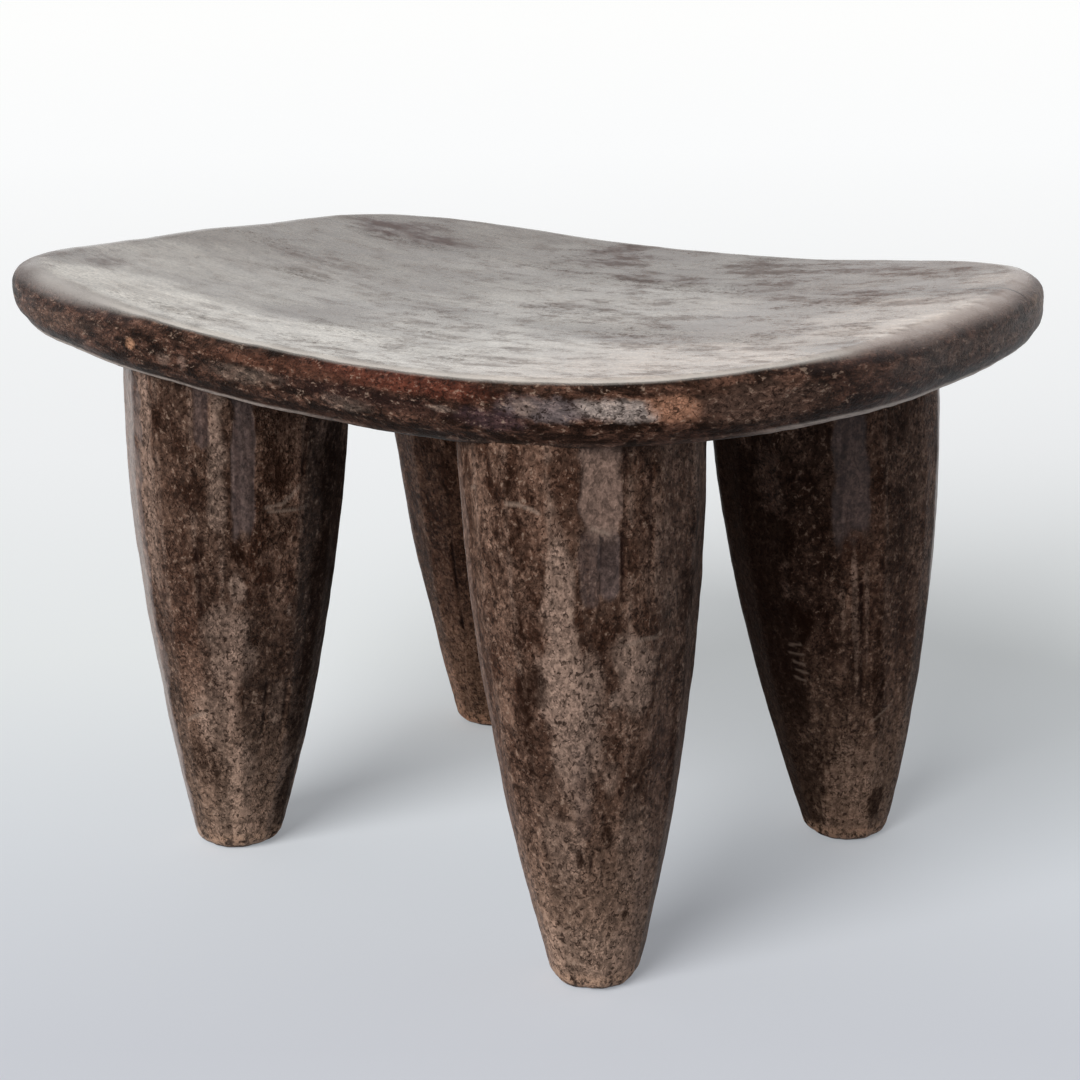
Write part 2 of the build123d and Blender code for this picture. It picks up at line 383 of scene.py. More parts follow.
# The arrises are bearings in degrees from +X. Beside the solids' values, each leg has cuts, which
# deepen a facet: (facet, low, high, depth); patches of its skin, by kind: (bearing, height, half
# width in degrees, half height, strength); and scratches and cracks: (half width, (bearing,
# height), ...).
LEGS = {
    "leg_front_left": dict(
        side=(-1, -1), shift=(0.7, 1.3), splay=(3.9, 4.5), girth=(1.3, -1.3), swell=-0.03,
        arrises=(-110, -89, -68, -53, -41, -8, 16, 40, 64, 88, 112, 136, 160, 184, 207, 229),
        cuts=((4, 60, 86, -0.6),),
        patches={
            "pale": (
                (-100, 170, 9, 75, 0.6), (-55, 195, 6, 45, 0.7), (-45, 132, 6, 9, 0.8),
                (1, 195, 8, 16, 0.4), (-50, 105, 18, 24, 0.7), (-60, 70, 20, 22, 0.6),
                (-15, 73, 7, 13, 0.5), (-42, 36, 14, 24, 0.8), (-50, 14, 34, 14, 0.8),
                (-12, 121, 2, 4, 0.8),
            ),
            # The soot patch at (-75, 208), just under the seat, and the long one at 22, on the side towards
            # the front leg, are painted shade; the rest are soot.
            "soot": (
                (-75, 208, 34, 26, 0.3), (-44, 148, 5, 6, 0.7), (-22, 185, 11, 40, 0.7),
                (22, 120, 24, 130, 1.0), (12, 12, 16, 22, 1.0), (-78, 44, 15, 16, 0.7),
            ),
            # The long slate and bare patches at -123 and -124, along this leg's outer edge, make a strip of
            # painted sheen.
            "slate": (
                (-123, 125, 17, 120, 2.0), (-62, 212, 5, 18, 0.8), (-41, 190, 6, 36, 1.0),
            ),
            "bare": (
                (-124, 125, 17, 120, 1.0),
            ),
        },
        scratches=(
            (0.7, (-29, 170), (-20, 171), (-14, 175), (-10, 179)),
            (0.8, (-10, 168), (-4, 169)),
            (0.7, (-27, 168), (-12, 168)),
            (0.8, (-87, 66), (-79, 69), (-70, 71)),
        ),
        cracks_and_arris_shades=(
            # This first line follows the arris at -8: its dark colour is painted shade along it.
            (0.8, (-8, 222), (-8, 190), (-9, 158)),
            (0.7, (-23.5, 88), (-23, 74), (-24, 61)),
            (0.7, (-7.5, 86), (-7, 74), (-8, 60)),
            (0.8, (-68, 150), (-67, 120), (-69, 96)),
        ),
    ),
    "leg_front_right": dict(
        side=(1, -1), shift=(0.3, -3.4), splay=(2.4, -1.4), girth=(-0.3, -1.8), swell=-0.01,
        arrises=(-108, -87, -66, -52, -29, -15, 12, 36, 61, 84, 108, 133, 157, 181, 205, 229),
        cuts=((3, 120, 192, -0.9),),
        patches={
            # The long bare patch at -131, along this leg's outer edge, is painted sheen; the one at -42.5 is
            # bare wood.
            "bare": (
                (-42.5, 212, 9.5, 19, 0.9), (-131, 125, 9, 120, 0.7),
            ),
            # The faint soot patch at (-78, 205), just under the seat, is painted shade; the rest are soot.
            "soot": (
                (-78, 205, 26, 34, 0.22), (-39, 183, 4.5, 11, 0.55), (-22, 186, 8, 32, 0.3),
                (10, 140, 7, 60, 0.7), (-88, 185, 16, 50, 0.5), (-86, 152, 4, 28, 0.8),
                (-82, 133, 10, 9, 1.0), (-91, 105, 8, 24, 0.8), (-40, 71, 4, 6, 0.9),
                (-20, 105, 12, 18, 0.45), (-60, 60, 3, 4, 0.9), (-100, 80, 8, 30, 0.5),
                (-22, 35, 4, 3, 0.9),
            ),
            "pale": (
                (-42, 195, 8, 2, 1.0), (-63, 170, 8, 32, 0.7), (-67, 160, 4, 16, 0.6),
                (-4, 190, 18, 60, 0.3), (-58, 122, 19, 40, 0.8), (-25, 137, 13, 18, 0.8),
                (-36, 128, 4, 5, 0.9), (-38, 96, 8, 9, 0.5), (-72, 62, 16, 26, 0.6),
                (-20, 60, 14, 26, 0.5), (-55, 15, 60, 14, 0.8), (-69.5, 118, 2, 1.4, 1.4),
            ),
            "slate": (
                (-39, 181, 5, 13, 1.0), (-48.5, 180, 5, 16, 0.6), (-57, 98, 5, 12, 0.3),
                (-55, 80, 5, 9, 0.3),
            ),
        },
        scratches=(
            (0.7, (-87, 205), (-80, 205), (-73, 203), (-71, 202)),
            (0.7, (-114, 208), (-109, 209)),
            (0.7, (-30, 149), (-21, 151), (-12, 150)),
            (0.6, (-47, 196), (-39, 193)),
        ),
        cracks_and_arris_shades=(
            # The lines at -31.5 and -33 run beside the arris at -29: their dark colour is painted shade
            # along it.
            (0.8, (-31.5, 224), (-31.5, 194)),
            (0.7, (-18, 220), (-18.5, 164)),
            (0.7, (-43, 192), (-43.5, 172)),
            (0.8, (-33, 194), (-32.5, 166)),
            (0.9, (-50, 110), (-49, 98), (-48, 88)),
            (0.8, (-42, 80), (-43, 72)),
            (0.8, (-52, 62), (-51, 54)),
            (0.8, (-43, 60), (-42.5, 53)),
            (0.8, (-88, 76), (-86, 66), (-87, 60)),
        ),
    ),
    "leg_back_right": dict(
        side=(1, 1), shift=(-3.4, -4.0), splay=(2.9, 0.6), girth=(0.3, 0.3), swell=0.25,
        arrises=(-106, -81, -51, -39, -25, 0, 17, 41, 66, 90, 113, 137, 161, 186, 209, 231),
        cuts=(),
        patches={
            # The broad patch at -116, on the side under the seat and behind the other legs, is painted
            # shade; the others darken the leg in smaller places.
            "soot": (
                (-116, 110, 40, 150, 1.3), (-70, 150, 14, 90, 0.4), (-50, 95, 50, 60, 0.25),
                (-22, 165, 12, 66, 0.35), (-28, 90, 6, 30, 0.8), (-20, 21, 10, 8, 1.0),
                (15, 20, 20, 30, 0.5),
            ),
            # The slate patch at 30, with the bare patch at 30 below, makes a strip of painted sheen along
            # this leg's outer edge.
            "slate": (
                (-44, 185, 9, 34, 0.9), (30, 130, 9, 95, 1.0),
            ),
            "pale": (
                (-44, 112, 2.2, 44, 0.6), (-37, 112, 1.6, 30, 0.5), (-4, 150, 7, 70, 0.3),
                (-40, 30, 30, 22, 0.5), (-31, 33, 9, 4, 1.0), (-36, 12, 5, 2, 1.0),
                (-60, 20, 60, 3, 0.4),
            ),
            "bare": (
                (30, 130, 8, 95, 0.6),
            ),
        },
        scratches=(
            (0.6, (-33, 63), (-24, 66), (-14, 69)),
            (0.6, (-86, 101), (-78, 102)),
            (0.6, (-87, 97), (-77, 97)),
            (0.6, (-85, 93), (-77, 92)),
            (0.6, (-84, 89), (-76, 88)),
            (0.6, (-86, 85), (-78, 84)),
        ),
        cracks_and_arris_shades=(
            (0.7, (-40.5, 130), (-40, 100), (-41, 72)),
            (0.7, (-24, 225), (-24, 150)),
        ),
    ),
    "leg_back_left": dict(
        side=(-1, 1), shift=(-3.0, 0.8), splay=(-0.1, 3.7), girth=(-1.3, 2.5), swell=-0.21,
        arrises=(-100, -78, -55, -33, -11, 12, 35, 58, 80, 103, 126, 148, 171, 193, 216, 238),
        cuts=(),
        patches={
            # This patch, high on the leg just under the seat, is painted shade.
            "soot": (
                (-40, 190, 60, 50, 0.6),
            ),
            "pale": (
                (-60, 30, 50, 24, 0.1),
            ),
        },
        scratches=(),
        cracks_and_arris_shades=((0.8, (-78, 120), (-77, 60)),),
    ),
}
AROUND_LEG = 360
LEG_RINGS = 250
SOLE_RINGS = 8
ARRIS_SOFTNESS = 0.3
ARRIS_WORN = 1.3  # half the width of the worn line along an arris
INTO_SEAT = 1.5  # how far the mesh runs on inside the seat's underside
FACET_WAVES = ((70, 0.5), (24, 0.22))  # how each facet's plane wanders: (length, depth) of a wave
# Noise carved into the legs: (depth, cell along X, Y and Z, seed, octaves).
LEG_CARVING = (
    (0.30, (20, 20, 34), 80, 2),
    (0.13, (5, 5, 8), 90, 3),
)
FOOT_WEAR = (0.6, 0.3)  # depth of the lumps worn into a foot, and how far they are sunk
FOOT_WEAR_HEIGHT = 9.0  # how fast that fades upwards
SCRATCH_DEPTH = 0.3
CRACK_DEPTH = 0.5
LEG_MARKS = ("pale", "slate", "soot", "bare")


def shoulder_centre(leg):
    x = leg["side"][0] * (SEAT_LENGTH / 2 - LEG_END_INSET) + leg["shift"][0]
    y = leg["side"][1] * (SEAT_WIDTH / 2 - LEG_SIDE_INSET) + leg["shift"][1]
    return x, y


def facet_reach(leg, order, shares, heights, radii, angles):
    """Distance of the hewn surface from a leg's axis, for each ring and bearing."""
    arrises = np.radians(leg["arrises"])
    widths = (np.roll(arrises, -1) - arrises) % (2 * np.pi)
    middles = arrises + widths / 2
    count = len(arrises)
    corner = 2 * radii / (1 + math.cos(math.pi / count))
    flats = corner[:, None] * np.cos(widths / 2)
    facets = np.arange(count)
    for length, depth in FACET_WAVES:
        spots = np.stack(np.broadcast_arrays(heights[:, None] / length, facets[None] * 3.7, 5.1 * order), -1)
        flats = flats + depth * lattice(spots, 70 + order)
    for facet, low, high, depth in leg["cuts"]:
        cut = smooth(low - 40, low, heights) * (1 - smooth(high - 2, high + 1.5, heights))
        flats[:, facet] += depth * cut
    across = np.cos(angles[None, :, None] - middles)
    reach = np.where(across > 0.25, flats[:, None, :] / np.maximum(across, 0.25), 1e3)
    nearest = reach.min(2, keepdims=True)
    others = np.exp(-(reach - nearest) / ARRIS_SOFTNESS).sum(2)
    return nearest[..., 0] - ARRIS_SOFTNESS * np.log(others)


def facet_marks(leg, order, bearings, levels, reach):
    """Each facet's own tone, and the worn line along each arris, as marks from 0 to 1."""
    arrises = np.sort(np.array(leg["arrises"]) % 360)
    turned = bearings % 360
    facet = np.searchsorted(arrises, turned, side="right") % len(arrises)
    spots = np.stack([facet * 5.3, levels / 80, np.full(levels.shape, 3.3 * order)], -1)
    tone = 0.5 + 0.6 * lattice(spots, 33 + order)
    for _ in range(3):
        tone = (np.roll(tone, 1, axis=1) + tone + np.roll(tone, -1, axis=1)) / 3
    apart = np.abs((turned[..., None] - arrises + 180) % 360 - 180).min(-1)
    return {"facet": tone, "arris": np.exp(-((np.radians(apart) * reach / ARRIS_WORN) ** 2))}


def line_mark(lines, bearings, levels, reach):
    """1 along each line on a leg and 0 away from it; a line is (half width, points on the skin)."""
    mark = np.zeros(bearings.shape)
    for half_width, *points in lines:
        for (bearing, level), (next_bearing, next_level) in zip(points, points[1:]):
            millimetres = np.radians(1) * reach
            x, y = (bearings - bearing) * millimetres, levels - level
            dx, dy = (next_bearing - bearing) * millimetres, next_level - level
            along = np.clip((x * dx + y * dy) / (dx * dx + dy * dy), 0, 1)
            away = np.hypot(x - along * dx, y - along * dy)
            mark = np.maximum(mark, smooth(1.6 * half_width, 0.5 * half_width, away))
    return mark


def leg_marks(leg, order, rings, angles, heights, reach):
    """Every mark on a leg: patches, facets' tones, worn arrises, scratches, and cracks, some of them dark
    lines of painted shade along an arris.
    """
    bearings = np.degrees(angles)
    bearings = np.where(bearings > 180, bearings - 360, bearings) * np.ones(LEG_RINGS)[:, None]
    levels = heights[:, None] * np.ones(AROUND_LEG)
    wobble = 0.3 * clouds(rings, np.array([9, 9, 14]), 65 + order, 3)
    marks = {kind: 0.0 * levels for kind in LEG_MARKS}
    marks.update(patch_marks(leg["patches"], bearings, levels, wobble))
    marks.update(facet_marks(leg, order, bearings, levels, reach))
    marks["scratch"] = line_mark(leg["scratches"], bearings, levels, reach)
    marks["crack"] = line_mark(leg["cracks_and_arris_shades"], bearings + 1.5 * wobble, levels, reach)
    return marks


def add_leg(name, order):
    """One leg: long adze facets that wander a little, a crusted skin, and a rounded worn foot."""
    leg = LEGS[name]
    x0, y0 = shoulder_centre(leg)
    top = underside_height(x0, y0)
    angles = 2 * np.pi * np.arange(AROUND_LEG) / AROUND_LEG
    shares = np.linspace(0, 1, LEG_RINGS)
    heights = shares * top
    foot = FOOT_RADIUS + leg["girth"][0]
    shoulder = SHOULDER_RADIUS + leg["girth"][1]
    radii = foot + (shoulder - foot) * (1 - (1 - shares) ** (SWELL + leg["swell"]))
    reach = facet_reach(leg, order, shares, heights, radii, angles)
    short = np.maximum(FOOT_ROUNDING - heights - FOOT_FLAT, 0)
    reach -= (FOOT_ROUNDING - np.sqrt(FOOT_ROUNDING**2 - short**2))[:, None]
    off_x = x0 + (1 - shares) * (leg["side"][0] * SPLAY_TO_END + leg["splay"][0])
    off_y = y0 + (1 - shares) * (leg["side"][1] * SPLAY_TO_SIDE + leg["splay"][1])
    x = off_x[:, None] + reach * np.cos(angles)
    y = off_y[:, None] + reach * np.sin(angles)
    rings = np.stack([x, y, shares[:, None] * underside_height(x, y)], -1)

    lumps, sunk = FOOT_WEAR
    worn = np.exp(-heights / FOOT_WEAR_HEIGHT)[:, None]
    crust = worn * (lumps * clouds(rings, 8, 95 + order, 3) - sunk)
    for depth, cell, seed, octaves in LEG_CARVING:
        crust += depth * clouds(rings, np.array(cell), seed + order, octaves)
    fade = np.minimum(1, (1 - shares) * top / 6 + 0.25)[:, None]
    outward = np.stack([np.cos(angles), np.sin(angles), np.zeros(AROUND_LEG)], -1)
    rings = rings + outward * (crust * fade)[..., None]
    rings[-1, :, 2] += INTO_SEAT

    marks = leg_marks(leg, order, rings, angles, heights, reach)
    sunk = SCRATCH_DEPTH * marks["scratch"] + CRACK_DEPTH * marks["crack"]
    rings = rings - outward * sunk[..., None]
    middle = rings[0].mean(0)
    sole = np.array([middle + (rings[0] - middle) * share for share in np.linspace(0.1, 0.93, SOLE_RINGS)])
    rings = np.concatenate([sole, rings])[::-1]
    for kind, values in marks.items():
        marks[kind] = np.concatenate([values[:1].repeat(SOLE_RINGS, 0), values])[::-1]
    piece = grid_mesh(name.replace("leg", "hewn_leg"), rings, marks)
    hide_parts(name)
    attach(piece, "root")
    return piece


# ------------------------ materials
class Nodes:
    """A tree of shader nodes that is wired by short calls."""

    def __init__(self, tree):
        self.tree = tree

    def put(self, socket, value):
        if isinstance(value, bpy.types.NodeSocket):
            self.tree.links.new(value, socket)
        else:
            socket.default_value = value

    def node(self, kind, inputs, **settings):
        made = self.tree.nodes.new(kind)
        for key, value in settings.items():
            setattr(made, key, value)
        for key, value in inputs.items():
            self.put(made.inputs[key], value)
        return made

    def math(self, operation, a, b=0.0, c=0.0):
        return self.node("ShaderNodeMath", {0: a, 1: b, 2: c}, operation=operation).outputs[0]

    def vector(self, operation, a, b=(0.0,) * 3, c=(0.0,) * 3):
        """The outputs of a vector operation, "Vector" and "Value"."""
        return self.node("ShaderNodeVectorMath", {0: a, 1: b, 2: c}, operation=operation).outputs

    def step(self, value, low, high, to_low=0.0, to_high=1.0):
        """Smooth step of a value from to_low at low to to_high at high."""
        inputs = {"Value": value, "From Min": low, "From Max": high, "To Min": to_low, "To Max": to_high}
        return self.node("ShaderNodeMapRange", inputs, interpolation_type="SMOOTHSTEP").outputs[0]

    def seen(self):
        """1 for the camera's rays and for those that a glossy or a clear surface sends on, else 0."""
        rays = self.node("ShaderNodeLightPath", {}).outputs
        sent_on = self.math("MAXIMUM", rays["Is Glossy Ray"], rays["Is Transmission Ray"])
        return self.math("MAXIMUM", rays["Is Camera Ray"], sent_on)


class Look(Nodes):
    """A material. Sizes are in millimetres, and a place or an axis that it gives is in metres."""

    def __init__(self, name):
        self.material = bpy.data.materials.new(name)
        self.material.use_nodes = True
        super().__init__(self.material.node_tree)
        self.shader = self.tree.nodes["Principled BSDF"]
        self.place = self.node("ShaderNodeTexCoord", {}).outputs["Object"]

    def set(self, name, value):
        self.put(self.shader.inputs[name], value)

    def axis(self, which):
        return self.node("ShaderNodeSeparateXYZ", {0: self.place}).outputs[which]

    def mark(self, name):
        return self.node("ShaderNodeAttribute", {}, attribute_name=name).outputs["Fac"]

    def times(self, *values):
        total = values[0]
        for value in values[1:]:
            total = self.math("MULTIPLY", total, value)
        return total

    def plus(self, *values):
        total = values[0]
        for value in values[1:]:
            total = self.math("ADD", total, value)
        return total

    def mix(self, share, a, b, blend="MIX"):
        made = self.node("ShaderNodeMix", {}, data_type="RGBA", blend_type=blend)
        for socket, value in ((made.inputs[0], share), (made.inputs[6], a), (made.inputs[7], b)):
            self.put(socket, (*value, 1) if isinstance(value, tuple) else value)
        return made.outputs[2]

    def shade(self, colour, by, share=1.0):
        """A colour multiplied by a value or by another colour."""
        return self.mix(share, colour, by, "MULTIPLY")

    def scaled(self, size, shift):
        """The place in cells of a size along X, Y and Z, moved by a shift."""
        scale = tuple(1 / (s * MM) for s in size)
        inputs = {"Vector": self.place, "Scale": scale, "Location": (shift, shift * 0.7, 0)}
        return self.node("ShaderNodeMapping", inputs).outputs[0]

    def noise(self, size, detail, roughness, distortion, shift):
        """Noise of about 0..1 around 0.5, with features of a size given along X, Y and Z."""
        inputs = {"Vector": self.scaled(size, shift), "Scale": 1.0, "Detail": detail}
        inputs.update(Roughness=roughness, Distortion=distortion)
        return self.node("ShaderNodeTexNoise", inputs).outputs["Fac"]

    def crinkle(self, size, shift):
        """Small irregular grains parted by sunk lines: 0 in the lines and 1 on the grains."""
        cell = self.scaled(size, shift)
        wander = self.node("ShaderNodeTexNoise", {"Vector": cell, "Scale": 0.7, "Detail": 2.0})
        bent = self.vector("MULTIPLY_ADD", wander.outputs["Color"], (1.6,) * 3, cell)["Vector"]
        grains = self.node("ShaderNodeTexVoronoi", {"Vector": bent, "Scale": 1.0}, feature="F1")
        return self.step(grains.outputs["Distance"], 0.85, 0.12)

    def spot(self, centre, radii, edge, ragged, grain):
        """1 inside an ellipsoid and 0 outside it, with a soft ragged edge."""
        away = self.vector("SUBTRACT", self.place, tuple(c * MM for c in centre))["Vector"]
        distance = self.vector("LENGTH", self.vector("DIVIDE", away, tuple(r * MM for r in radii))["Vector"])
        wobble = self.noise((grain,) * 3, 3.0, 0.6, 0.0, 3.0)
        distance = self.math("MULTIPLY_ADD", wobble, ragged, distance["Value"])
        distance = self.math("SUBTRACT", distance, ragged / 2)
        return self.step(distance, 1 + edge, 1 - edge)

    def finish(self, colour, roughness, gloss, bumps):
        """Sets the colour, roughness, gloss and a chain of (height, strength, depth in mm) bumps."""
        self.set("Base Color", colour)
        self.set("Roughness", roughness)
        self.set("Specular IOR Level", gloss)
        normal = None
        for height, strength, depth in bumps:
            inputs = {"Height": height, "Strength": strength, "Distance": depth * MM}
            if normal is not None:
                inputs["Normal"] = normal
            normal = self.node("ShaderNodeBump", inputs).outputs[0]
        self.set("Normal", normal)
        return self.material


FLECK_AND_GLINT = (0.300, 0.215, 0.165)
PIT = (0.011, 0.005, 0.003)


def crusted(look, skin, wood):
    """Crusted old wood over a skin colour, crackled in places, with dark pits and light flecks that are
    partly painted glints.

    Returns the colour and the height for its bump.
    """
    colour = look.shade(skin, look.step(wood.grain, 0.34, 0.68, 0.50, 1.55))
    # The crackle is darker in its sunk lines and lighter on its grains: partly the crust's colour, partly
    # painted shade and painted glints on that relief.
    colour = look.shade(colour, look.step(wood.crinkle, 0.0, 0.9, 0.56, 1.34), wood.crackled)
    speckle = look.math("MULTIPLY_ADD", wood.pits, 0.8, wood.grain)
    # Light flecks: partly specks in the crust, partly painted glints.
    colour = look.mix(look.step(speckle, 1.00, 1.16, 0.0, 0.6), colour, FLECK_AND_GLINT)
    colour = look.mix(look.step(wood.pits, 0.43, 0.35, 0.0, 0.75), colour, PIT)
    raised = look.times(wood.crinkle, wood.crackled, 0.4)
    relief = look.plus(wood.grain, raised, look.times(look.step(wood.pits, 0.34, 0.46), 0.3))
    return colour, relief


CRUST_DARK = (0.034, 0.015, 0.009)
CRUST_TAN = (0.132, 0.078, 0.056)
CRUST_BROWN = (0.072, 0.038, 0.026)
LEG_WORN = (0.212, 0.144, 0.113)
LEG_DUSTY = (0.230, 0.152, 0.112)
LEG_ARRIS = (0.210, 0.145, 0.115)
SLATE_DARK = (0.046, 0.029, 0.026)
SLATE_LIGHT = (0.095, 0.065, 0.058)
# Bare wood, and the painted sheen along the legs' outer edges.
BARE_WOOD_AND_SHEEN = (0.195, 0.130, 0.104)
# Soot, and painted shade where the seat and the other legs shade a leg.
LEG_SOOT_AND_SHADE = (0.012, 0.005, 0.003)
LEG_SCRATCH = (0.30, 0.220, 0.175)
LEG_CRACK_AND_ARRIS_SHADE = (0.010, 0.004, 0.003)
LEG_CHIP = (0.420, 0.270, 0.190)
LEG_SOLE_SHADE = (0.020, 0.011, 0.008)
# Tints of the two legs at the back. The others have none.
LEG_TONES = {"leg_back_right": (1.0, 0.96, 0.93), "leg_back_left": (1.30, 1.12, 1.0)}


def leg_wood(look, shift):
    """The marks and the noises from which a leg's look is mixed."""
    kinds = (*LEG_MARKS, "facet", "arris", "scratch", "crack")
    leg = SimpleNamespace(**{kind: look.mark(kind) for kind in kinds})
    leg.height = look.axis(2)
    leg.mottle = look.noise((10, 10, 18), 7.0, 0.68, 0.5, shift + 5)
    leg.drift = look.noise((30, 30, 55), 2.0, 0.5, 0.3, shift + 9)
    leg.streaks = look.noise((4, 4, 60), 3.0, 0.55, 0.0, shift + 8)
    leg.grain = look.noise((2.6, 2.6, 3.4), 5.0, 0.72, 0.25, shift)
    leg.crinkle = look.crinkle((1.05, 1.05, 1.2), shift + 3)
    leg.pits = look.noise((1.7, 1.7, 2.0), 2.0, 0.5, 0.8, shift + 11)
    leg.crackled = look.step(look.noise((9, 9, 12), 3.0, 0.6, 0.3, shift + 12), 0.40, 0.62, 0.1, 0.85)
    return leg


def leg_skin(look, leg):
    """Brown crust with tan worn patches, dusty near the ground and rubbed along its arrises."""
    skin = look.mix(look.step(leg.mottle, 0.36, 0.64), CRUST_DARK, CRUST_TAN)
    skin = look.mix(look.step(leg.drift, 0.42, 0.62, 0.0, 0.5), skin, CRUST_BROWN)
    worn = look.plus(leg.pale, look.times(leg.mottle, 0.8))
    skin = look.mix(look.step(worn, 0.50, 1.35), skin, LEG_WORN)
    skin = look.mix(look.step(leg.height, 0.11, 0.004, 0.0, 0.70), skin, LEG_DUSTY)
    skin = look.shade(skin, look.step(leg.facet, 0.0, 1.0, 0.72, 1.34))
    rubbed = look.times(leg.arris, look.step(leg.mottle, 0.42, 0.60), look.step(leg.height, 0.05, 0.14))
    return look.mix(look.times(rubbed, 0.4), skin, LEG_ARRIS)


def smoothed_skin(look, leg):
    """The skin of the facets that are smooth and slaty or worn to bare wood, and of the strips along the
    legs' outer edges that are painted sheen.
    """
    skin = look.mix(look.step(leg.streaks, 0.4, 0.6), SLATE_DARK, SLATE_LIGHT)
    skin = look.mix(leg.bare, skin, BARE_WOOD_AND_SHEEN)
    skin = look.shade(skin, look.step(leg.grain, 0.3, 0.7, 0.6, 1.4))
    return look.shade(skin, look.step(leg.pits, 0.36, 0.62, 0.7, 1.2))


def leg_look(name, tone, shift):
    """Old hardwood under soot and handling: brown crust, tan worn patches, smooth slaty facets, and painted
    shade where the seat and the other legs shade it.
    """
    look = Look(name)
    leg = leg_wood(look, shift)
    crust, relief = crusted(look, leg_skin(look, leg), leg)
    clean = look.math("MAXIMUM", leg.slate, leg.bare)
    colour = look.mix(look.times(look.step(clean, 0.0, 1.0), 0.85), crust, smoothed_skin(look, leg))
    # Soot, and painted shade where the seat and the other legs shade the leg, with ragged edges.
    ragged = look.plus(look.times(leg.mottle, -1.2), look.times(leg.grain, -1.2), 1.2)
    sooty = look.plus(leg.soot, look.times(ragged, look.step(leg.soot, 0.0, 0.3)))
    dark = look.times(look.step(sooty, 0.10, 1.15), 0.80)
    colour = look.mix(dark, colour, LEG_SOOT_AND_SHADE)
    colour = look.mix(look.times(leg.scratch, 0.5), colour, LEG_SCRATCH)
    # Dark cracks, and painted shade along some arrises.
    crack = look.times(leg.crack, look.step(leg.mottle, 0.58, 0.40, 0.15, 0.85))
    colour = look.mix(crack, colour, LEG_CRACK_AND_ARRIS_SHADE)
    chips = look.times(look.step(leg.height, 0.010, 0.005), look.step(leg.grain, 0.44, 0.54))
    colour = look.mix(look.times(chips, 0.85), colour, LEG_CHIP)
    # Painted contact shade along the bottom of the foot.
    colour = look.mix(look.step(leg.height, 0.0024, 0.0008, 0.0, 0.85), colour, LEG_SOLE_SHADE)
    rough = look.plus(look.times(leg.pale, 0.14), look.times(clean, -0.08), look.times(dark, 0.1), 0.44)
    gloss = look.plus(look.times(leg.slate, 0.16), look.times(dark, -0.04), 0.04)
    bumps = [
        (look.plus(leg.streaks, look.times(leg.mottle, 0.6)), 0.3, 0.7),
        (look.times(relief, look.step(clean, 0.0, 1.0, 1.0, 0.3)), 0.9, 0.8),
    ]
    return look.finish(look.shade(colour, tone), rough, look.math("MAXIMUM", gloss, 0.01), bumps)


TOP_DARK = (0.119, 0.088, 0.066)
TOP_LIGHT = (0.174, 0.142, 0.111)
TOP_PALE = (0.610, 0.565, 0.500)
TOP_VIOLET = (0.088, 0.056, 0.050)
TOP_DRIFT = (0.092, 0.058, 0.047)
TOP_SOOT = (0.028, 0.017, 0.014)
TOP_CRACK = (0.022, 0.012, 0.010)
TINT_TO_END = (1.06, 0.92, 0.85)  # the top's tint towards +X
# Painted shade: the top is darker towards +Y.
PAINTED_SHADE_TO_BACK = (0.86, 0.84, 0.84)  # and towards +Y
# Colours of the painted sheen on the crest, where the top turns over into its roll.
CREST_TIGHT = (0.570, 0.530, 0.490)
CREST_RIGHT = (0.360, 0.285, 0.253)
CREST_LEFT = (0.400, 0.370, 0.350)
CREST_TIP = (0.250, 0.222, 0.208)
RIM_DARK = (0.010, 0.004, 0.002)
RIM_BROWN = (0.096, 0.047, 0.032)
RIM_HANDLED = (0.090, 0.060, 0.058)
RIM_SHOULDER = (0.082, 0.058, 0.058)
RIM_LIP_SHADE = (0.012, 0.006, 0.004)
LIP_HIGHLIGHT = (0.480, 0.400, 0.350)
UNDERSIDE_DARK = (0.046, 0.027, 0.019)
UNDERSIDE_LIGHT = (0.118, 0.078, 0.056)
CRACK_WANDER = 5.0  # how far the top's cracks wander across it
# Cracks along the grain of the top: (Y, X where it starts, X where it is strongest, strength).
TOP_CRACKS = (
    (65.5, 55, 195, 0.9),
    (72, -30, -150, 0.45),
)
# Patches on the rim: (centre, radii, colour, strength).
RIM_MARKS = (
    ((50, -146, 248.5), (48, 14, 4.0), (0.095, 0.028, 0.017), 0.8),
    ((-10, -146, 245.5), (36, 12, 3.0), (0.085, 0.035, 0.022), 0.7),
    ((45, -147, 240), (60, 14, 3.5), (0.024, 0.010, 0.008), 0.6),
    ((188, -92, 249), (26, 24, 8), (0.090, 0.054, 0.041), 0.7),
    ((122, -138, 246), (20, 10, 4.2), (0.135, 0.108, 0.108), 0.8),
    # The light patch at (146, -128) is grey crust painted lighter as its highlight.
    ((146, -128, 247.5), (15, 12, 3.8), (0.310, 0.255, 0.230), 0.9),
    ((113, -141, 246), (5.5, 6, 3.2), (0.180, 0.130, 0.105), 0.5),
    ((164, -117, 248.5), (8.0, 9, 4.5), (0.300, 0.150, 0.095), 0.9),
    ((100, -143, 240), (14, 8, 4.0), (0.050, 0.030, 0.036), 0.6),
    ((76, -147, 241), (7, 6, 1.2), (0.150, 0.110, 0.090), 0.5),
    ((26, -147, 236), (14, 6, 2.6), (0.120, 0.088, 0.072), 0.45),
    ((-30, -147, 239.5), (20, 6, 3.4), (0.130, 0.095, 0.076), 0.5),
    ((-66, -147, 239.5), (2.6, 4, 2.8), (0.220, 0.140, 0.110), 0.6),
    ((-77, -147, 239), (4, 4, 2.4), (0.180, 0.125, 0.100), 0.5),
    ((-97, -147, 243), (2.6, 4, 2.2), (0.330, 0.175, 0.105), 0.9),
    ((-150, -140, 246), (30, 14, 4.0), (0.120, 0.070, 0.050), 0.5),
    ((203, 88, 262), (12, 22, 8), (0.200, 0.120, 0.080), 0.6),
    ((205, 20, 255), (12, 60, 5), (0.120, 0.075, 0.058), 0.6),
)


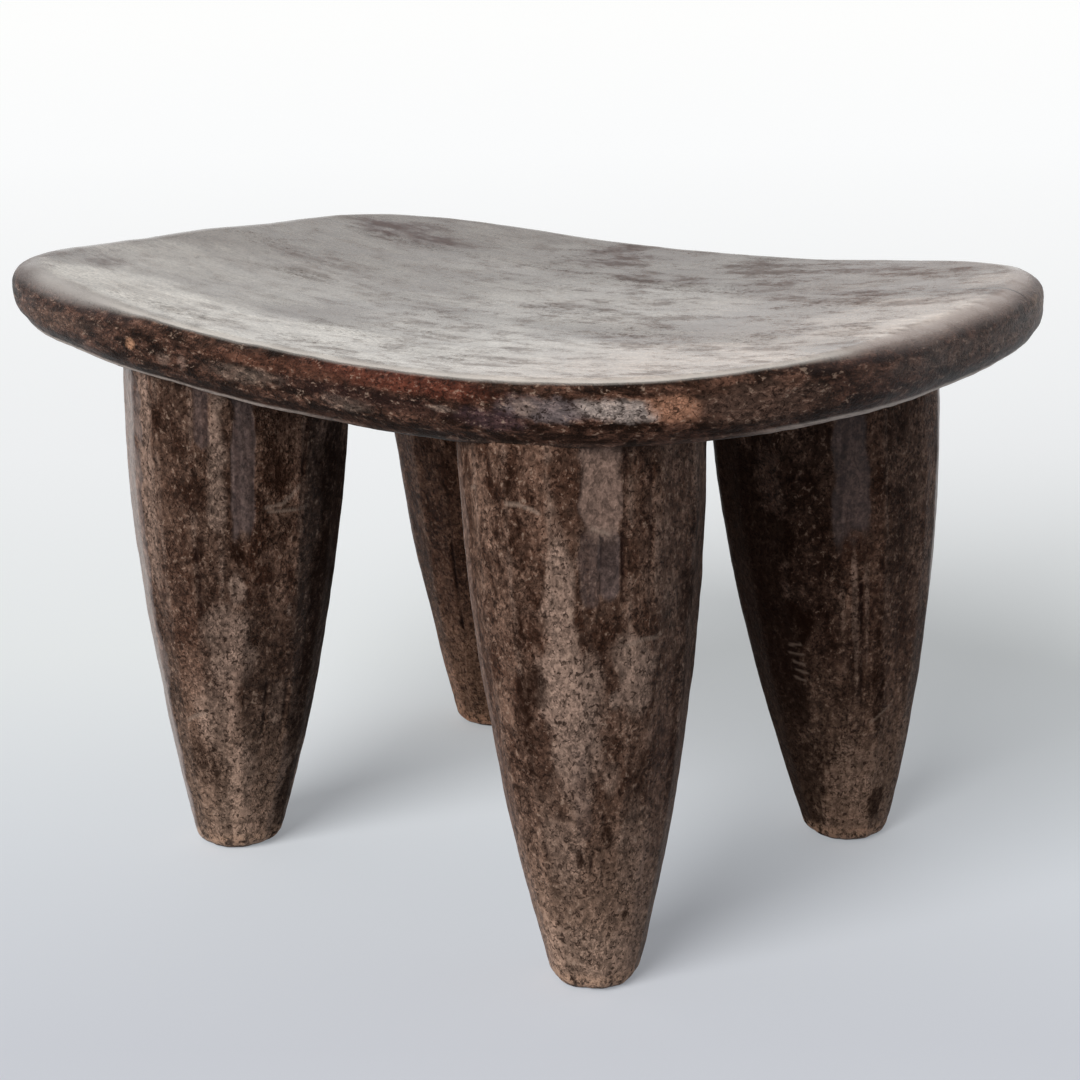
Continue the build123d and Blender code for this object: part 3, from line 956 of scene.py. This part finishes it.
def seat_wood(look):
    """The marks, the noises and the shares of dirt from which the seat's look is mixed."""
    kinds = ("polish", "roll", "pale", "violet", "soot", "handled", "endward", "lip")
    seat = SimpleNamespace(**{kind: look.mark(kind) for kind in kinds})
    seat.x, seat.y = look.axis(0), look.axis(1)
    seat.fibres = look.noise((20, 1.5, 5), 3.0, 0.6, 0.1, 7)
    seat.haze = look.noise((45, 30, 60), 4.0, 0.55, 0.5, 10)
    seat.flecks = look.noise((2.4, 1.1, 3), 3.0, 0.68, 0.3, 13)
    seat.dust = look.noise((1.6, 0.9, 1.2), 3.0, 0.6, 0.0, 14)
    seat.lumps = look.noise((13, 13, 5), 6.0, 0.70, 0.3, 16)
    broad_drift = look.noise((30, 12, 30), 5.0, 0.65, 0.4, 12)
    seat.drift = look.times(look.plus(broad_drift, look.noise((13, 9, 13), 7.0, 0.76, 0.2, 17)), 0.5)
    seat.along = look.noise((6, 3, 2.2), 5.0, 0.70, 0.2, 21)
    across = look.noise((3, 6, 2.2), 5.0, 0.70, 0.2, 22)
    sideward = look.math("SUBTRACT", 1.0, seat.endward)
    seat.grain = look.plus(look.times(seat.along, sideward), look.times(across, seat.endward))
    seat.crinkle = look.crinkle((1.1, 1.1, 0.8), 23)
    seat.pits = look.noise((1.9, 1.9, 1.3), 2.0, 0.5, 0.8, 24)
    seat.crackled = look.step(look.noise((12, 12, 6), 3.0, 0.6, 0.3, 25), 0.40, 0.62, 0.1, 0.8)

    seat.violets = look.times(seat.violet, look.step(seat.drift, 0.38, 0.56, 0.3, 1.0))
    drifts = look.step(look.math("MULTIPLY_ADD", seat.dust, 0.35, seat.drift), 0.64, 0.79)
    seat.drifts = look.times(drifts, look.step(seat.x, -0.13, 0.01, 0.45, 0.7))
    seat.sooty = look.plus(seat.soot, look.times(seat.drifts, 0.6))
    soot_flecks = look.step(look.plus(look.times(seat.sooty, 0.16), seat.flecks), 0.62, 0.71)
    seat.dark = look.times(soot_flecks, 0.55)
    return seat


def painted_crest_sheen(look, seat):
    """Painted sheen where the top turns over into its roll: palest where that is tight, browner where broad.
    """
    broad = look.mix(look.step(seat.x, 0.0, -0.1), CREST_RIGHT, CREST_LEFT)
    broad = look.mix(look.step(seat.x, -0.155, -0.195), broad, CREST_TIP)
    return look.mix(look.step(seat.handled, 0.2, 0.8), CREST_TIGHT, broad)


def worn_top(look, seat):
    """Grey wood with pale patches that are partly painted sheen, violet patches, dark drifts, sooty flecks,
    two long cracks, painted shade towards +Y and a painted sheen on the crest.
    """
    top = look.mix(look.step(seat.haze, 0.36, 0.64), TOP_DARK, TOP_LIGHT)
    # Pale patches: pale wear, and painted sheen along the front edge and at the ends.
    top = look.mix(look.times(seat.pale, look.step(seat.haze, 0.3, 0.6, 0.6, 1.0)), top, TOP_PALE)
    top = look.mix(seat.violets, top, TOP_VIOLET)
    top = look.mix(seat.drifts, top, TOP_DRIFT)
    top = look.shade(top, look.step(seat.dust, 0.32, 0.68, 0.64, 1.36))
    top = look.shade(top, look.step(seat.fibres, 0.3, 0.7, 0.85, 1.15))
    top = look.mix(seat.dark, top, TOP_SOOT)
    top = look.shade(top, TINT_TO_END, look.step(seat.x, 0.03, 0.15))
    # Painted shade: darker towards +Y.
    top = look.shade(top, PAINTED_SHADE_TO_BACK, look.step(seat.y, 0.0, 0.12))
    # The painted crest sheen on the first part of the roll.
    top = look.mix(look.step(seat.roll, 0.0, 0.12, 0.0, 0.85), top, painted_crest_sheen(look, seat))
    wander = look.noise((60, 400, 400), 3.0, 0.6, 0.0, 15)
    wander = look.math("MULTIPLY_ADD", wander, CRACK_WANDER * MM, seat.y)
    for place, start, end, strength in TOP_CRACKS:
        away = look.math("SUBTRACT", wander, (place + CRACK_WANDER / 2) * MM)
        line = look.step(look.math("ABSOLUTE", away), 1.0 * MM, 0.3 * MM)
        line = look.times(line, look.step(seat.x, start * MM, end * MM, 0.0, strength))
        top = look.mix(line, top, TOP_CRACK)
    return top


def crusted_rim(look, seat):
    """Dark lumpy crust with rubbed patches, painted shade in the groove by the lip, and a painted highlight
    along the lip.

    Returns the colour and the height for its bump.
    """
    skin = look.mix(look.step(seat.lumps, 0.40, 0.64), RIM_DARK, RIM_BROWN)
    handled = look.times(seat.handled, look.step(seat.x, 0.0, -0.1, 0.15, 0.1))
    skin = look.mix(handled, skin, RIM_HANDLED)
    for centre, radii, patch, strength in RIM_MARKS:
        spot = look.spot(centre, radii, edge=0.45, ragged=1.3, grain=min(7.0, 0.8 * radii[0]))
        skin = look.mix(look.times(spot, strength), skin, patch)
    rim, relief = crusted(look, skin, seat)
    shoulder = look.times(seat.handled, look.step(seat.roll, 0.34, 0.20), 0.6)
    rim = look.mix(shoulder, rim, RIM_SHOULDER)
    # Painted shade in the groove by the lower lip.
    lip_shade = look.times(look.step(seat.roll, 0.66, 0.72), look.step(seat.roll, 0.86, 0.80))
    lip_shade = look.times(lip_shade, look.step(seat.lumps, 0.3, 0.6, 0.85, 0.3))
    rim = look.mix(lip_shade, rim, RIM_LIP_SHADE)
    # The painted highlight along the lower lip.
    lip = look.times(seat.lip, look.step(seat.grain, 0.34, 0.50, 0.6, 1.0))
    return look.mix(lip, rim, LIP_HIGHLIGHT), relief


def unworn_underside(look, seat):
    """Brown wood streaked along its fibres."""
    below = look.mix(look.step(seat.fibres, 0.3, 0.7), UNDERSIDE_DARK, UNDERSIDE_LIGHT)
    below = look.shade(below, look.step(seat.lumps, 0.36, 0.64, 0.5, 1.4))
    return look.shade(below, look.step(seat.along, 0.34, 0.66, 0.65, 1.35))


def waxed_shine(look, seat):
    """How strongly the seat mirrors: most where the top is pale, least where it is dirty."""
    dirty = look.plus(seat.drifts, seat.dark, look.times(seat.violets, 0.5))
    clean = look.times(seat.pale, look.step(seat.drifts, 0.6, 0.0, 0.05, 0.15))
    shine = look.plus(look.step(dirty, 0.0, 1.0, 0.29, 0.10), clean)
    shine = look.times(look.step(seat.polish, 0.3, 1.0), shine, look.step(seat.dust, 0.32, 0.68, 0.75, 1.25))
    shine = look.times(shine, look.step(seat.y, -0.07, 0.10, 1.12, 0.72))
    return look.math("MAXIMUM", shine, look.step(seat.handled, 0.0, 1.0, 0.04, 0.12))


def seat_look(name):
    """The same wood, its top worn grey and waxed by use, its rim dark, crusted and rubbed red."""
    look = Look(name)
    seat = seat_wood(look)
    rim, relief = crusted_rim(look, seat)
    colour = look.mix(seat.polish, rim, worn_top(look, seat))
    under = look.step(seat.roll, 0.97, 1.0)
    colour = look.mix(under, colour, unworn_underside(look, seat))
    matt = look.plus(look.times(seat.haze, 0.06), 0.15)
    for dirt, amount in ((seat.dark, 0.26), (seat.violets, 0.18), (seat.drifts, 0.20), (seat.sooty, 0.05)):
        matt = look.plus(matt, look.times(dirt, amount))
    rough = look.plus(look.mix(seat.polish, (0.42,) * 3, matt), look.times(under, 0.25))
    look.set("IOR", 1.55)
    bumps = [
        (look.plus(look.times(seat.fibres, 0.5), look.times(seat.drift, 0.8)), 0.15, 0.4),
        (look.times(relief, look.step(seat.polish, 0.2, 0.9, 1.0, 0.03)), 0.9, 0.8),
    ]
    return look.finish(colour, rough, waxed_shine(look, seat), bumps)


# ------------------------ stage
TOWARDS_CAMERA = tuple(towards(CAMERA_AZIMUTH, 0.0))
KEY_AZIMUTH = math.radians(2)
KEY_ELEVATION = math.radians(31)
KEY_STRENGTH = 3.4
KEY_SOFTNESS = math.radians(42)
KEY_COLOUR = (1.0, 0.985, 0.96)
FLOOR_REACH = 12  # metres from its middle to each side
PAPER_LIT = 0.86  # share of the paper's brightness that takes light and shadow
PAPER_GLOW = 0.325  # and the share that doesn't
PAPER_ROUGHNESS = 0.9
# Paper's brightness by its distance in metres beyond the object, away from the camera.
PAPER = (
    (-0.21, (0.60, 0.625, 0.68)),
    (-0.02, (0.665, 0.70, 0.745)),
    (0.25, (0.755, 0.785, 0.80)),
    (0.68, (0.835, 0.855, 0.875)),
    (1.45, (0.90, 0.915, 0.93)),
    (2.1, (0.945, 0.96, 0.975)),
    (3.6, (0.97, 0.98, 0.985)),
)


def paper_colours(look):
    """The paper's colour, lighter with its distance beyond the object."""
    beyond = look.vector("DOT_PRODUCT", look.place, tuple(-c for c in TOWARDS_CAMERA))["Value"]
    near, far = PAPER[0][0], PAPER[-1][0]
    share = look.node("ShaderNodeMapRange", {"Value": beyond, "From Min": near, "From Max": far})
    ramp = look.node("ShaderNodeValToRGB", {0: share.outputs[0]})
    stops = ramp.color_ramp.elements
    while len(stops) < len(PAPER):
        stops.new(0.5)
    for stop, (metres, colour) in zip(stops, PAPER):
        stop.position = (metres - near) / (far - near)
        stop.color = (*colour, 1)
    return ramp.outputs[0]


def add_floor():
    """Matt paper that also glows a little wherever it is seen."""
    mesh = bpy.data.meshes.new("floor")
    corners = [(x * FLOOR_REACH, y * FLOOR_REACH, 0) for x, y in ((-1, -1), (1, -1), (1, 1), (-1, 1))]
    mesh.from_pydata(corners, [], [(0, 1, 2, 3)])
    floor = bpy.data.objects.new("floor", mesh)
    scene.collection.objects.link(floor)
    look = Look("floor_paper")
    paper = paper_colours(look)
    look.set("Base Color", look.shade(paper, (PAPER_LIT,) * 3))
    look.set("Roughness", PAPER_ROUGHNESS)
    look.set("Specular IOR Level", 0.0)
    look.set("Emission Color", paper)
    look.set("Emission Strength", look.times(look.seen(), PAPER_GLOW))
    floor.data.materials.append(look.material)


def add_world():
    """White low down behind the object, dimmer overhead and on the camera's side, white if seen."""
    world = bpy.data.worlds.new("studio")
    world.use_nodes = True
    sky = Nodes(world.node_tree)
    direction = sky.node("ShaderNodeTexCoord", {}).outputs["Generated"]
    camera_side = sky.vector("DOT_PRODUCT", direction, TOWARDS_CAMERA)["Value"]
    upward = sky.vector("DOT_PRODUCT", direction, (0.0, 0.0, 1.0))["Value"]
    dimmed = sky.step(camera_side, -0.3, 0.5, 1.0, 0.20)
    light = sky.math("MULTIPLY", dimmed, sky.step(upward, 0.10, 0.55, 1.0, 0.30))
    background = sky.tree.nodes["Background"]
    sky.put(background.inputs["Color"], (1, 1, 1, 1))
    strength = sky.node("ShaderNodeMix", {0: sky.seen(), 2: light, 3: 1.0}).outputs[0]
    sky.put(background.inputs["Strength"], strength)
    scene.world = world


def add_key():
    """One broad soft lamp over the front."""
    light = bpy.data.lights.new("key", "SUN")
    light.energy = KEY_STRENGTH
    light.angle = KEY_SOFTNESS
    light.color = KEY_COLOUR
    key = bpy.data.objects.new("key", light)
    scene.collection.objects.link(key)
    key.visible_glossy = False  # the waxed top mirrors the white studio, not the lamp
    key.rotation_euler = towards(KEY_AZIMUTH, KEY_ELEVATION).to_track_quat("Z", "Y").to_euler()


add_camera()
add_floor()
add_world()
add_key()
add_seat().data.materials.append(seat_look("seat_wood_look"))
for order, name in enumerate(LEGS):
    tone = LEG_TONES.get(name, (1.0, 1.0, 1.0))
    add_leg(name, order).data.materials.append(leg_look(f"{name}_look", tone, 20.0 * order))

scene.view_settings.view_transform = "Standard"
